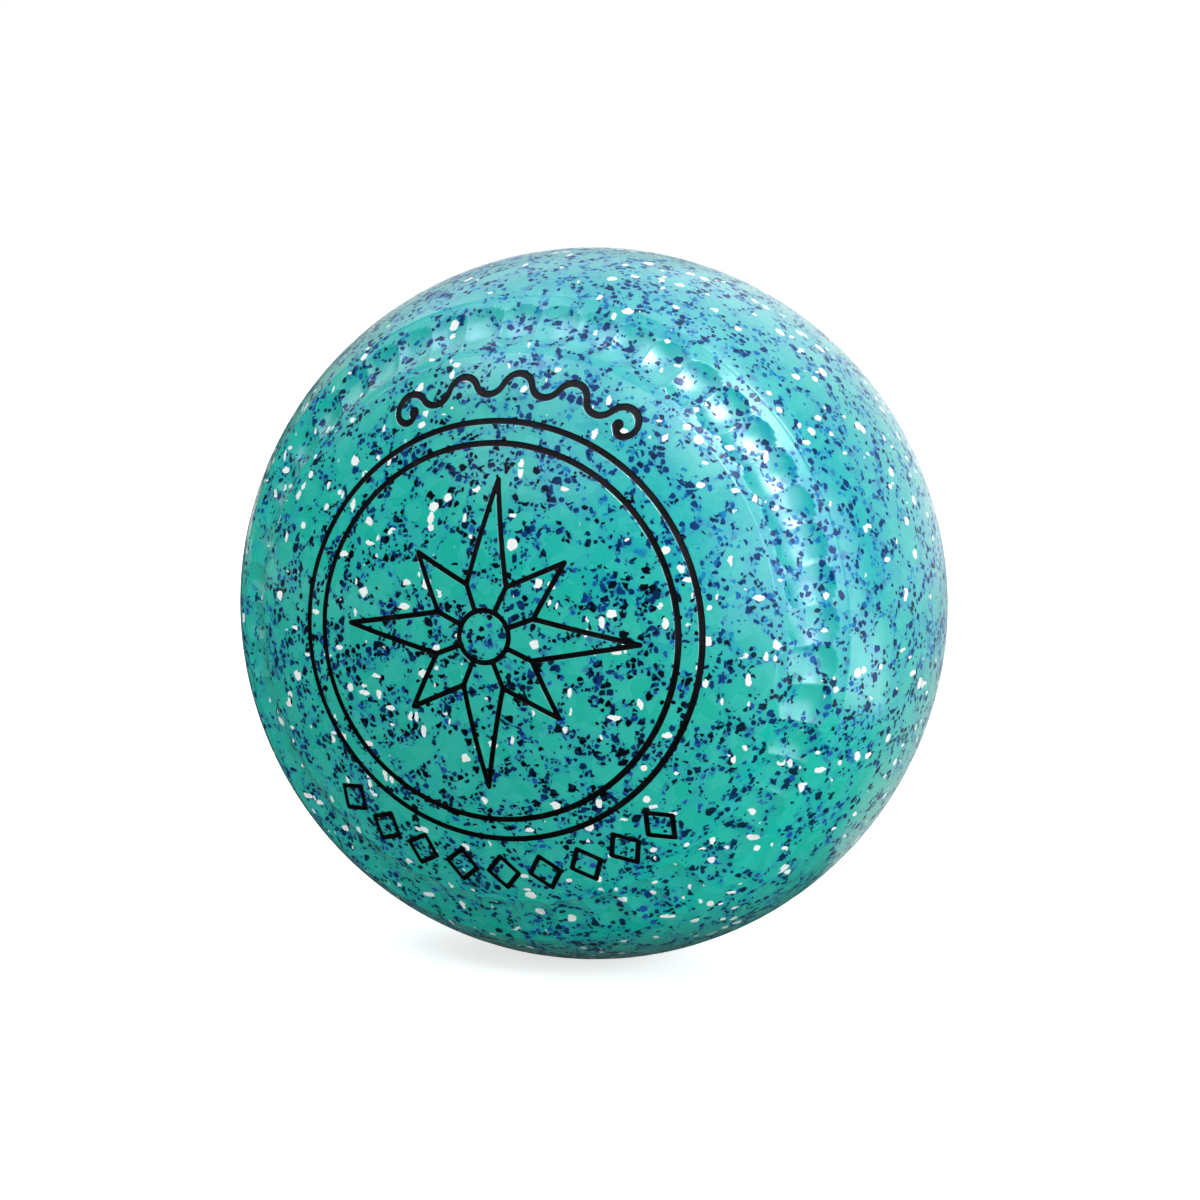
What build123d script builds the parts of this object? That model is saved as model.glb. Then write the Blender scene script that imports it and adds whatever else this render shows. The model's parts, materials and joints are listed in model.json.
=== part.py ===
from build123d import *

import os
from math import asin, atan2, cos, degrees, radians, sin

# A lawn bowl of size 4: a speckled resin skin moulded over a dense core, turned true,
# cut with two rings of finger scoops, engraved and filled with paint.
# It stands on its running line with its axis level. The axis is Y: the side with the large
# rings faces -Y, and the side with the small rings, the bias side, faces +Y.
# The origin is the middle of the running circle, +Z is up, and sizes are in millimetres.

# Turned form. Its section runs from the running line over sole, shoulder and dome to the axis.
running_radius = 63.5
sole_arc_radius = 57.2
sole_arc_end = 20.0  # degrees each side of the running line
shoulder_arc_radius = 40.0
large_side_half_width = 54.25
small_side_half_width = 54.95  # the fuller side, which gives the bowl its bias

# Core: a drum with bevelled rims, pressed before the skin is moulded round it.
core_radius = 47.0
core_length = 77.0
core_bevel = 16.0

# Grip: a straight channel turned round each shoulder, and the scoops milled into it.
channel_inner_radius = 46.5
channel_outer_radius = 56.1
scoop_count = 48
scoop_ball_radius = 12.0
scoop_depth = 1.1
scoop_shift_inwards = 0.35

# Engraving and the paint in it.
groove_depth = 0.55
paint_recess = 0.12
ring_line = 1.0
large_outer_ring_radius = 35.5
large_inner_ring_radius = 31.9
small_outer_ring_radius = 17.6
small_inner_ring_radius = 14.8

# Compass rose inside the large rings. The one inside the small rings is scaled down.
rose_points = 8
rose_long_point = 26.0
rose_short_point = 18.5
rose_waist = 9.2
rose_hub = 4.4
rose_line = 0.9
small_rose_scale = 0.46
small_rose_line = 0.6

side_reach = 80.0  # enough for a cutter to pass right through one side

LARGE_SIDE = -1
SMALL_SIDE = 1


def section_of(half_width):
    """Centre x, centre y and radius of one side's sole, shoulder and dome arcs, all tangent."""
    sole_x = running_radius - sole_arc_radius
    lift = sole_arc_radius - shoulder_arc_radius
    shoulder_x = sole_x + lift * cos(radians(sole_arc_end))
    shoulder_y = lift * sin(radians(sole_arc_end))
    rise = half_width - shoulder_y
    dome_radius = (shoulder_x**2 + rise**2 - shoulder_arc_radius**2) / (2 * (rise - shoulder_arc_radius))
    sole = (sole_x, 0.0, sole_arc_radius)
    shoulder = (shoulder_x, shoulder_y, shoulder_arc_radius)
    dome = (0.0, half_width - dome_radius, dome_radius)
    return sole, shoulder, dome


def lean_at(arc, from_axis):
    """Degrees by which the surface's normal leans away from the axis, at a radius from it."""
    centre_x, _, radius = arc
    return degrees(asin((from_axis - centre_x) / radius))


def draw_arc(arc, first_lean, last_lean, side):
    """Draw the part of one arc between two leans."""
    centre_x, centre_y, radius = arc
    start = side * (90.0 - first_lean)
    CenterArc((centre_x, side * centre_y), radius, start, side * (first_lean - last_lean))


def channel_edges(half_width, side):
    """Inner and outer end of the grip channel in the section."""
    _, shoulder, dome = section_of(half_width)
    edges = []
    for (centre_x, centre_y, radius), from_axis in ((dome, channel_inner_radius), (shoulder, channel_outer_radius)):
        height = centre_y + (radius**2 - (from_axis - centre_x) ** 2) ** 0.5
        edges.append(Vector(from_axis, side * height))
    return edges


def draw_side(half_width, side):
    """Draw one side of the section: dome, straight grip channel, shoulder and sole."""
    sole, shoulder, dome = section_of(half_width)
    sole_lean = 90.0 - sole_arc_end
    draw_arc(dome, 0.0, lean_at(dome, channel_inner_radius), side)
    Line(*channel_edges(half_width, side))
    draw_arc(shoulder, lean_at(shoulder, channel_outer_radius), sole_lean, side)
    draw_arc(sole, sole_lean, 90.0, side)


def mill_scoops(half_width, side):
    """Mill one side's ring of scoops: dips of a ball-nosed cutter that run into each other."""
    inner_edge, outer_edge = channel_edges(half_width, side)
    along = (outer_edge - inner_edge).normalized()
    outwards = Vector(-side * along.Y, side * along.X)
    middle = (inner_edge + outer_edge) * 0.5 - along * scoop_shift_inwards
    ball = middle + outwards * (scoop_ball_radius - scoop_depth)
    ball_axis_turn = side * degrees(atan2(along.X, abs(along.Y)))
    with Locations(Plane.XZ.offset(-ball.Y)):
        with PolarLocations(ball.X, scoop_count, start_angle=180.0 / scoop_count):
            Sphere(scoop_ball_radius, rotation=(0, ball_axis_turn, 0), mode=Mode.SUBTRACT)


def engraved_layer(drawing, half_width, side, top, floor):
    """A drawing's lines carried down through one dome, between two depths under its surface."""
    _, _, (_, dome_y, dome_radius) = section_of(half_width)
    with BuildPart() as layer:
        extrude(drawing, amount=side_reach, dir=(0, side, 0))
        with Locations((0, side * dome_y, 0)):
            Sphere(dome_radius - top, mode=Mode.INTERSECT)
            Sphere(dome_radius - floor, mode=Mode.SUBTRACT)
    return layer.part


def ring_drawing(radius, line):
    """One turned line."""
    with BuildSketch(Plane.XZ) as ring:
        Circle(radius + line / 2)
        Circle(radius - line / 2, mode=Mode.SUBTRACT)
    return ring.sketch


def polar(reach, heading):
    """A point at a distance from the axis, turned clockwise from straight up."""
    return (reach * sin(radians(heading)), reach * cos(radians(heading)))


def kite(scale, point, growth):
    """One kite of the compass rose, grown or shrunk evenly on every side."""
    turn = 360.0 / rose_points
    heading = point * turn
    reach = rose_short_point if point % 2 else rose_long_point
    left = polar(scale * rose_waist, heading - turn / 2)
    right = polar(scale * rose_waist, heading + turn / 2)
    with BuildSketch() as outline:
        Polygon((0, 0), left, polar(scale * reach, heading), right, align=None)
        offset(amount=growth, kind=Kind.INTERSECTION)
    return outline.sketch


def rose_drawing(scale, line):
    """A compass rose in outline: eight kites round a hub ring, and a line between each two."""
    with BuildSketch(Plane.XZ) as rose:
        for point in range(rose_points):
            add(kite(scale, point, line / 2))
        for point in range(rose_points):
            add(kite(scale, point, -line / 2), mode=Mode.SUBTRACT)
        Circle(scale * rose_hub + line / 2)
        Circle(scale * rose_hub - line / 2, mode=Mode.SUBTRACT)
    return rose.sketch


# Core.
with BuildPart() as core:
    with BuildSketch(Plane.XZ):
        Circle(core_radius)
    extrude(amount=core_length / 2, both=True)
    chamfer(core.edges().filter_by(GeomType.CIRCLE), length=core_bevel)
core.part.label = "core"

# Every engraved line, with the side that carries it.
drawings = {
    "large_outer_ring_paint": (ring_drawing(large_outer_ring_radius, ring_line), LARGE_SIDE),
    "large_inner_ring_paint": (ring_drawing(large_inner_ring_radius, ring_line), LARGE_SIDE),
    "large_rose_paint": (rose_drawing(1.0, rose_line), LARGE_SIDE),
    "small_outer_ring_paint": (ring_drawing(small_outer_ring_radius, ring_line), SMALL_SIDE),
    "small_inner_ring_paint": (ring_drawing(small_inner_ring_radius, ring_line), SMALL_SIDE),
    "small_rose_paint": (rose_drawing(small_rose_scale, small_rose_line), SMALL_SIDE),
}
half_widths = {LARGE_SIDE: large_side_half_width, SMALL_SIDE: small_side_half_width}

# Skin: the speckled resin, turned outside, with its channels, scoops and grooves.
with BuildPart() as outer_shell:
    with BuildSketch():
        with BuildLine():
            for side, half_width in half_widths.items():
                draw_side(half_width, side)
            Line((0, -large_side_half_width), (0, small_side_half_width))
        make_face()
    revolve(axis=Axis.Y)
    for side, half_width in half_widths.items():
        mill_scoops(half_width, side)
    for drawing, side in drawings.values():
        groove = engraved_layer(drawing, half_widths[side], side, -groove_depth, groove_depth)
        add(groove, mode=Mode.SUBTRACT)
    add(core.part, mode=Mode.SUBTRACT)
outer_shell.part.label = "outer_shell"

os.makedirs("parts", exist_ok=True)
export_step(core.part, "parts/core.step")
export_step(outer_shell.part, "parts/outer_shell.step")

# Paint: it fills the bottom of each groove and stops just short of the surface.
for name, (drawing, side) in drawings.items():
    with BuildPart() as paint:
        add(engraved_layer(drawing, half_widths[side], side, paint_recess, groove_depth))
    paint.part.label = name
    export_step(paint.part, f"parts/{name}.step")
    print(name, round(paint.part.volume, 1), "mm3")

print("skin", outer_shell.part.bounding_box().size, round(outer_shell.part.volume / 1000, 1), "cm3")
print("core", core.part.bounding_box().size, round(core.part.volume / 1000, 1), "cm3")
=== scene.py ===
# %% [markdown]
# # A lawn bowl: turned, milled, engraved and polished
#
# A lawn bowl is a solid ball of hard resin, a little flattened at its two sides. It is turned on a
# lathe, a ball-nosed mill cuts a ring of finger scoops round each shoulder, a fine cutter engraves
# each side, the grooves are filled with enamel, and the whole skin is polished.
#
# This lesson makes it in the same order: form first, then the cuts, then the enamel, and last the
# speckled resin itself, which is where most of the work of looking right lies.

# %% Load the frame
import json
import math

import bpy
import numpy as np
from mathutils import Matrix, Vector, geometry

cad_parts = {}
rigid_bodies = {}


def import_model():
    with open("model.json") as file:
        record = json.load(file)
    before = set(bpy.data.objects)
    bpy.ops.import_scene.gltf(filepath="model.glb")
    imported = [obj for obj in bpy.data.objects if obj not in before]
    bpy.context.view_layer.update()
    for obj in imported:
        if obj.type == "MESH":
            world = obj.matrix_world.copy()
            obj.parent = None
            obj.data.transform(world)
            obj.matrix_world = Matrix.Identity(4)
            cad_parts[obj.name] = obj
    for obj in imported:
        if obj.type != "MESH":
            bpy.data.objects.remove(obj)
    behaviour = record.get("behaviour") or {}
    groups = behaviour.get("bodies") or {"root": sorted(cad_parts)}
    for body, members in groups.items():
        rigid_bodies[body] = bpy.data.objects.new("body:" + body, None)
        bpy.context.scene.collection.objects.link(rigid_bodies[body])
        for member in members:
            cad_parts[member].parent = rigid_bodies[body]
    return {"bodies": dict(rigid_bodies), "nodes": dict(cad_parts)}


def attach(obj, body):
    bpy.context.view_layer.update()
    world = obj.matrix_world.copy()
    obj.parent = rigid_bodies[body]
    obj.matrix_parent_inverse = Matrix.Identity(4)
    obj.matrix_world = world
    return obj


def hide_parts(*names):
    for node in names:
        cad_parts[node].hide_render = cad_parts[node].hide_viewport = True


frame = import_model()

kept = set(frame["nodes"].values()) | set(frame["bodies"].values())
for leftover in [thing for thing in bpy.data.objects if thing not in kept]:
    bpy.data.objects.remove(leftover)
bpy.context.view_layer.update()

# %% [markdown]
# ## Sizes
#
# A workshop drawing of a bowl gives a few radii and lets tangency do the rest. The same radii that
# the solid model was turned from are repeated here, in millimetres, and pieces become metres only
# when their mesh is made. The bowl's axis is Y: the side with the large rings faces -Y.

# %% Driving sizes, in millimetres
MM = 0.001

RUNNING_RADIUS = 63.5
SOLE_RADIUS = 57.2
SOLE_END = math.radians(20)
SHOULDER_RADIUS = 40.0
HALF_WIDTH = {"large": 54.25, "small": 54.95}
FACING = {"large": -1, "small": 1}

CORE_RADIUS = 47.0
CORE_HALF_LENGTH = 38.5
CORE_BEVEL = 16.0

CHANNEL_INNER = 46.5
CHANNEL_OUTER = 56.1
CHANNEL_DEPTH = 0.12
CHANNEL_BULGE = 0.27
CHANNEL_MARGIN = {"inner": 0.5, "outer": 0.6}
SCOOP_COUNT = 48
SCOOP_BALL = 12.0
SCOOP_DEPTH = 1.1
SCOOP_SHIFT_INWARDS = 0.35

GROOVE_DEPTH = 0.55
RING_LINE = 1.0
RINGS = {"large": (35.5, 31.9), "small": (17.6, 14.8)}
ROSE_SCALE = {"large": 1.0, "small": 0.46}
ROSE_LINE = {"large": 0.9, "small": 0.6}

# %% [markdown]
# ## The turned form
#
# In section, each half of the bowl is three arcs that run into each other without a corner: the
# sole it rolls on, the shoulder, and the dome at the side. One could model this with a subdivided
# sphere and a few scaled rings, but gloss shows every wobble. Worked out as arcs, every point has
# an exact place and an exact normal, so reflections stay clean.
#
# A place in the section is (distance from the axis, height above the middle plane). "Lean" is the
# angle between the surface's normal and the axis.

# %% Arcs of one half
def arcs_of(side):
    """Centre and radius of the sole, shoulder and dome of one half."""
    sole_x = RUNNING_RADIUS - SOLE_RADIUS
    lift = SOLE_RADIUS - SHOULDER_RADIUS
    shoulder_x = sole_x + lift * math.cos(SOLE_END)
    shoulder_y = lift * math.sin(SOLE_END)
    rise = HALF_WIDTH[side] - shoulder_y
    dome = (shoulder_x**2 + rise**2 - SHOULDER_RADIUS**2) / (2 * (rise - SHOULDER_RADIUS))
    return {
        "sole": (sole_x, 0.0, SOLE_RADIUS),
        "shoulder": (shoulder_x, shoulder_y, SHOULDER_RADIUS),
        "dome": (0.0, HALF_WIDTH[side] - dome, dome),
    }


ARCS = {side: arcs_of(side) for side in FACING}


def lean_at(arc, from_axis):
    """Lean of an arc's surface at a distance from the axis."""
    return math.asin((from_axis - arc[0]) / arc[2])


def on_arc(arc, lean):
    """The point of an arc at a lean, in the section."""
    return np.array([arc[0] + arc[2] * math.sin(lean), arc[1] + arc[2] * math.cos(lean)])


def spin(section, turn, side):
    """Turn section points round the bowl's axis. A turn of 0 is straight up."""
    section, turn = np.asarray(section), np.asarray(turn)
    x = section[..., 0] * np.sin(turn)
    z = section[..., 0] * np.cos(turn)
    return np.stack([x, np.broadcast_to(FACING[side] * section[..., 1], x.shape), z], axis=-1)


for side, arcs in ARCS.items():
    print(side, "side: dome radius", round(arcs["dome"][2], 2), "mm")

# %% [markdown]
# ## The grip: channel and scoops
#
# Round each shoulder runs a shallow channel with a fine step at both edges and a gently curved
# floor, and in it 48 scoops. Each scoop is what a ball of 12 mm radius leaves when it dips about a
# millimetre below the straight line from edge to edge. Neighbouring dips overlap, so they meet in
# thin ridges like the flutes of a screw head.
#
# A boolean with 96 spheres would give hard, badly shaped triangles along every ridge. Here the
# depth of the cut is worked out point by point instead: the deeper of the two nearest balls wins,
# and a soft maximum rounds the ridge the way polishing does.

# %% The scoop mill
CHANNEL = {}
for side, arcs in ARCS.items():
    start = on_arc(arcs["dome"], lean_at(arcs["dome"], CHANNEL_INNER))
    end = on_arc(arcs["shoulder"], lean_at(arcs["shoulder"], CHANNEL_OUTER))
    width = np.linalg.norm(end - start)
    along = (end - start) / width
    outwards = np.array([-along[1], along[0]])
    lift = SCOOP_BALL - SCOOP_DEPTH
    ball = (start + end) / 2 - along * SCOOP_SHIFT_INWARDS + outwards * lift
    CHANNEL[side] = {"start": start, "width": width, "along": along, "outwards": outwards, "ball": ball}
    print(side, "side: channel", round(width, 2), "mm wide")

# %% Milling the channel
POLISHED_RIDGE = 0.07
POLISHED_BEND = 0.05
PITCH = 2 * math.pi / SCOOP_COUNT


def soft_max(a, b, blend):
    """The larger of two, with the corner between them rounded."""
    share = np.clip(0.5 + 0.5 * (a - b) / blend, 0, 1)
    return b + (a - b) * share + blend * share * (1 - share)


def channel_surface(across, turn, side):
    """Points of the milled channel, by distance across it and turn round the axis."""
    cut = CHANNEL[side]
    inner_wall = across / CHANNEL_MARGIN["inner"]
    outer_wall = (cut["width"] - across) / CHANNEL_MARGIN["outer"]
    sunk = -soft_max(soft_max(-inner_wall, -outer_wall, POLISHED_BEND), -1.0, POLISHED_BEND)
    section = cut["start"] + across[..., None] * cut["along"]
    bulge = CHANNEL_BULGE * (1 - (2 * across / cut["width"] - 1) ** 2)
    section = section + (bulge - CHANNEL_DEPTH * sunk)[..., None] * cut["outwards"]
    point = spin(section, turn, side)
    outwards = spin(np.broadcast_to(cut["outwards"], section.shape), turn, side)
    nearest = (np.floor(turn / PITCH) + 0.5) * PITCH
    neighbour = nearest + np.where(turn >= nearest, PITCH, -PITCH)
    dips = []
    for middle in (nearest, neighbour):
        away = point - spin(np.broadcast_to(cut["ball"], section.shape), middle, side)
        drop = (away * outwards).sum(-1)
        inside = drop**2 - (away**2).sum(-1) + SCOOP_BALL**2
        dips.append(np.where(inside > 0, drop + np.sqrt(np.maximum(inside, 0)), -SCOOP_BALL))
    depth = soft_max(soft_max(dips[0], dips[1], POLISHED_RIDGE), 0.0, POLISHED_RIDGE)
    return point - depth[..., None] * outwards


def channel_normals(across, turn, side, step=0.01):
    """Normals of the milled channel, from the slopes between neighbouring points."""
    turned = step / CHANNEL_INNER
    across_slope = channel_surface(across + step, turn, side) - channel_surface(across - step, turn, side)
    turn_slope = channel_surface(across, turn + turned, side) - channel_surface(across, turn - turned, side)
    normal = np.cross(across_slope, turn_slope) * FACING[side]
    return normal / np.linalg.norm(normal, axis=-1, keepdims=True)


# %% [markdown]
# ## The drawings
#
# What is engraved is drawn first as centrelines, the way an engraving machine follows them: arcs
# and straight runs, in the plane seen from the side (x to the right, z up). The rose is a plain
# eight-point compass rose. Over the rings runs a scroll of half waves that ends in a curl and a
# dot, and under them a row of lozenges.

# %% Sizes of the drawings
ROSE_POINTS = 8
ROSE_LONG_POINT = 26.0
ROSE_SHORT_POINT = 18.5
ROSE_WAIST = 9.2
ROSE_HUB = 4.4

SCROLL_CIRCLE = 41.6
SCROLL_LINE = 1.15
SCROLL_DOT = 0.95
WAVE_RADIUS = 2.7
WAVE_SWEEP = math.radians(136)
WAVE_LEAN = math.radians(6.9)
CURL = ((2.75, math.radians(140)), (2.0, math.radians(90)), (1.3, math.radians(110)))

LOZENGE_CIRCLE = 42.0
LOZENGE_COUNT = 9
LOZENGE_PITCH = math.radians(10.4)
LOZENGE_HALF_WIDTH = 2.75
LOZENGE_HALF_HEIGHT = 3.0
LOZENGE_LINE = 0.85


# %% Centrelines of the rose
def polar(reach, heading):
    """A point at a distance from the axis, turned clockwise from straight up."""
    return np.array([reach * math.sin(heading), reach * math.cos(heading)])


def rose_lines(scale):
    """Centrelines of the compass rose: the star's outline, its spokes and its hub ring."""
    turn = 2 * math.pi / ROSE_POINTS
    outline, lines = [], []
    for point in range(ROSE_POINTS):
        reach = ROSE_SHORT_POINT if point % 2 else ROSE_LONG_POINT
        waist = polar(scale * ROSE_WAIST, (point + 0.5) * turn)
        outline += [polar(scale * reach, point * turn), waist]
        lines.append(np.array([polar(scale * ROSE_HUB, (point + 0.5) * turn), waist]))
    lines.append(np.array(outline + outline[:1]))
    lines.append(np.array([polar(scale * ROSE_HUB, angle) for angle in np.linspace(0, 2 * math.pi, 97)]))
    return lines


# %% Walking along arcs
def walk_arcs(start, heading, arcs, step=0.25):
    """Points along arcs that follow each other. A positive sweep turns left."""
    points = [np.array(start, float)]
    for radius, sweep in arcs:
        count = max(2, round(abs(sweep) * radius / step))
        for _ in range(count):
            heading += sweep / count / 2
            chord = 2 * radius * math.sin(abs(sweep) / count / 2)
            points.append(points[-1] + chord * np.array([math.cos(heading), math.sin(heading)]))
            heading += sweep / count / 2
    return np.array(points)


# %% Centrelines of the two rows
def scroll_lines():
    """Centrelines of the scroll, and the two ends that carry its dots."""
    crest_sweep = -(WAVE_SWEEP + WAVE_LEAN)
    trough_sweep = WAVE_SWEEP - WAVE_LEAN
    crest = (0.0, SCROLL_CIRCLE + WAVE_RADIUS * (1 - math.cos(WAVE_SWEEP / 2)))
    waves = [(WAVE_RADIUS, sweep) for sweep in (crest_sweep / 2, trough_sweep, crest_sweep, trough_sweep)]
    half = walk_arcs(crest, 0.0, waves + [(radius, -sweep) for radius, sweep in CURL])
    return [half, half * (-1, 1)]


def lozenge_lines():
    """Centrelines of the lozenges, on an arc under the rings."""
    lines = []
    for place in range(LOZENGE_COUNT):
        heading = math.pi + (place - (LOZENGE_COUNT - 1) / 2) * LOZENGE_PITCH
        out, across = polar(1, heading), polar(1, heading + math.pi / 2)
        middle = LOZENGE_CIRCLE * out
        tips = [LOZENGE_HALF_HEIGHT * out, LOZENGE_HALF_WIDTH * across]
        lines.append(np.array([middle + tip for tip in (tips[0], tips[1], -tips[0], -tips[1], tips[0])]))
    return lines


def strokes(lines, line_width):
    """Lines with the width of the cutter that follows them."""
    return [(line, line_width / 2) for line in lines]


# %% Drawings
scroll = scroll_lines()
dots = [(np.array([half[-1], half[-1]]), SCROLL_DOT) for half in scroll]
DRAWINGS = {
    "large_rose": ("large", strokes(rose_lines(ROSE_SCALE["large"]), ROSE_LINE["large"])),
    "scroll": ("large", strokes(scroll, SCROLL_LINE) + dots),
    "lozenges": ("large", strokes(lozenge_lines(), LOZENGE_LINE)),
    "small_rose": ("small", strokes(rose_lines(ROSE_SCALE["small"]), ROSE_LINE["small"])),
}
for name, (side, drawn) in DRAWINGS.items():
    length = sum(np.linalg.norm(np.diff(line, axis=0), axis=1).sum() for line, _ in drawn)
    print(name, "on the", side, "side:", round(length), "mm of engraving")

# %% [markdown]
# ## From drawing to groove
#
# A groove's shape depends only on how far a point is from the edge of the cut. So each drawing
# becomes a map of that distance on a fine grid, negative inside the groove. Crossing lines need no
# care: the nearest one wins. Contour lines of the map then give outlines that a mesh can follow
# exactly, found cell by cell where the map passes a level (marching squares).

# %% Distance maps
GRID = 0.2
MAP_REACH = 1.2


class DistanceMap:
    """Signed distance to the edge of a drawing's grooves, on a square grid."""

    def __init__(self, drawn):
        points = np.concatenate([line for line, _ in drawn])
        self.low = points.min(0) - 2 * MAP_REACH
        size = np.ceil((points.max(0) + 2 * MAP_REACH - self.low) / GRID).astype(int) + 1
        self.values = np.full((size[1], size[0]), MAP_REACH)
        for line, half_line in drawn:
            for start, end in zip(line[:-1], line[1:]):
                self.press(start, end, half_line)

    def press(self, start, end, half_line):
        """Lower the map round one straight run."""
        reach = half_line + MAP_REACH
        first = np.floor((np.minimum(start, end) - reach - self.low) / GRID).astype(int).clip(0)
        last = np.ceil((np.maximum(start, end) + reach - self.low) / GRID).astype(int) + 1
        window = self.values[first[1]:last[1], first[0]:last[0]]
        x = self.low[0] + GRID * np.arange(first[0], first[0] + window.shape[1])
        z = self.low[1] + GRID * np.arange(first[1], first[1] + window.shape[0])
        spot = np.stack(np.meshgrid(x, z), axis=-1) - start
        run = end - start
        part = np.clip(spot @ run / max(run @ run, 1e-12), 0, 1)
        gap = np.linalg.norm(spot - part[..., None] * run, axis=-1) - half_line
        np.minimum(window, gap, out=window)

    def sample(self, grid_values, points):
        """Read any array on this map's grid at points between its nodes."""
        place = (points - self.low) / GRID
        top = np.array([grid_values.shape[1], grid_values.shape[0]]) - 2
        cell = np.clip(np.floor(place).astype(int), 0, top)
        u, v = np.clip(place - cell, 0, 1).T
        i, j = cell[:, 1], cell[:, 0]
        near = grid_values[i, j] * (1 - u) + grid_values[i, j + 1] * u
        far = grid_values[i + 1, j] * (1 - u) + grid_values[i + 1, j + 1] * u
        return near * (1 - v) + far * v

    def distance(self, points):
        """Distance of points to the nearest groove's edge."""
        high = self.low + GRID * (np.array(self.values.shape[::-1]) - 1)
        inside = ((points > self.low) & (points < high)).all(1)
        return np.where(inside, self.sample(self.values, points), MAP_REACH)

    def slope(self, points):
        """Direction in which that distance grows."""
        down, right = np.gradient(self.values, GRID)
        way = np.stack([self.sample(right, points), self.sample(down, points)], axis=-1)
        return way / np.maximum(np.linalg.norm(way, axis=1, keepdims=True), 1e-9)

MAPS = {name: DistanceMap(drawn) for name, (_, drawn) in DRAWINGS.items()}
MAPS_OF = {side: [MAPS[name] for name in DRAWINGS if DRAWINGS[name][0] == side] for side in FACING}
print("distance maps:", {name: chart.values.shape for name, chart in MAPS.items()})


# %% Contour lines
def contour(chart, level):
    """Points and edges of one contour line of a map."""
    high = chart.values - level
    rows, columns = high.shape
    places, crossing, count = [], [], 0
    for rise, run in ((0, 1), (1, 0)):
        first = high[:rows - rise, :columns - run]
        second = high[rise:, run:]
        i, j = np.nonzero((first < 0) != (second < 0))
        part = first[i, j] / (first[i, j] - second[i, j])
        places.append(chart.low + GRID * np.stack([j + run * part, i + rise * part], axis=-1))
        number = np.full(first.shape, -1)
        number[i, j] = count + np.arange(len(i))
        count += len(i)
        crossing.append(number)
    flat, upright = crossing
    sides = np.stack([flat[:-1], upright[:, 1:], flat[1:], upright[:, :-1]], axis=-1).reshape(-1, 4)
    found = (sides >= 0).sum(1)
    pairs = np.sort(sides[found == 2], axis=1)[:, 2:]
    saddles = sides[found == 4]
    return np.concatenate(places), np.concatenate([pairs, saddles[:, :2], saddles[:, 2:]])


# %% [markdown]
# ## Meshing the engraved dome
#
# The dome has to be smooth where it is bare and finely divided where it is cut. A constrained
# Delaunay triangulation does both: it takes a loose pattern of points for the bare dome, and the
# contour lines as edges that it must keep. The groove's edge is slightly rounded, its wall leans
# as the cutter's does, and its floor is flat. Enamel will cover the floor.

# %% Groove profile and columns
# Distance from the groove's edge, the depth there, and how steeply the wall falls there.
PROFILE_DISTANCE = (-0.06, 0.01, 0.10)
PROFILE_DEPTH = (GROOVE_DEPTH, 0.05, 0.0)
PROFILE_SLOPE = (6.0, 1.0, 0.0)
EDGE_ROUNDING = 0.15
# The bare dome's loose points keep clear of its rim and its grooves.
FIRST_ROW = 0.7
LOOSE_MARGIN = 1.6
LOOSE_ROW = 1.5
LOOSE_SPACING = 1.7
CLEAR_OF_GROOVE = 0.4
RING_SPACING = 0.9
COLUMNS_PER_SCOOP = 12
COLUMNS = SCOOP_COUNT * COLUMNS_PER_SCOOP
RIDGE_CROWDING = 0.55


def crowded(part, crowding):
    """Parts of a run from 0 to 1, drawn together towards both its ends."""
    return part - crowding * np.sin(2 * math.pi * part) / (2 * math.pi)


# The columns crowd towards the ridges between scoops.
column = crowded(np.arange(COLUMNS_PER_SCOOP) / COLUMNS_PER_SCOOP, RIDGE_CROWDING)
TURNS = ((np.arange(SCOOP_COUNT)[:, None] + column) * PITCH).ravel()
print(COLUMNS, "columns round the skin")


# %% Circles and triangulation
def loop(radius, turns):
    """Points round a circle in the drawing plane, and the edges between them."""
    points = radius * np.stack([np.sin(turns), np.cos(turns)], axis=-1)
    step = np.arange(len(turns))
    return points, np.stack([step, np.roll(step, -1)], axis=-1)


def even_turns(count):
    """Turns at even steps round the axis."""
    return np.arange(count) * 2 * math.pi / count


def circle(radius, count):
    """A circle of evenly spaced points, and its edges."""
    return loop(radius, even_turns(count))


def triangulate(parts):
    """Triangles over point sets, keeping every edge. Each part is (points, edges)."""
    points, edges, count = [], [], 0
    for part_points, part_edges in parts:
        points.append(part_points)
        edges.append(np.asarray(part_edges, int).reshape(-1, 2) + count)
        count += len(part_points)
    made = geometry.delaunay_2d_cdt(
        [Vector(point) for point in np.concatenate(points).tolist()],
        np.concatenate(edges).tolist(), [], 0, 1e-6, False)
    corners = np.array([tuple(point) for point in made[0]])
    triangles = np.array(made[2])
    a, b, c = (corners[triangles[:, k]] for k in range(3))
    turned = (b[:, 0] - a[:, 0]) * (c[:, 1] - a[:, 1]) - (b[:, 1] - a[:, 1]) * (c[:, 0] - a[:, 0])
    triangles[turned < 0] = triangles[turned < 0][:, ::-1]
    return corners, triangles


# %% Places on the engraved dome
def nearest_groove(points, side):
    """Distance to the edge of one side's nearest groove, and the direction away from it."""
    from_axis = np.linalg.norm(points, axis=1, keepdims=True)
    outwards = points / np.maximum(from_axis, 1e-9)
    nearest = np.full(len(points), MAP_REACH)
    way = np.zeros_like(points)
    for ring in RINGS[side]:
        off_line = from_axis[:, 0] - ring
        gap = np.abs(off_line) - RING_LINE / 2
        nearer = gap < nearest
        nearest[nearer] = gap[nearer]
        way[nearer] = outwards[nearer] * np.sign(off_line[nearer])[:, None]
    for chart in MAPS_OF[side]:
        gap = chart.distance(points)
        nearer = gap < nearest
        nearest[nearer] = gap[nearer]
        way[nearer] = chart.slope(points[nearer])
    return nearest, way


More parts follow.
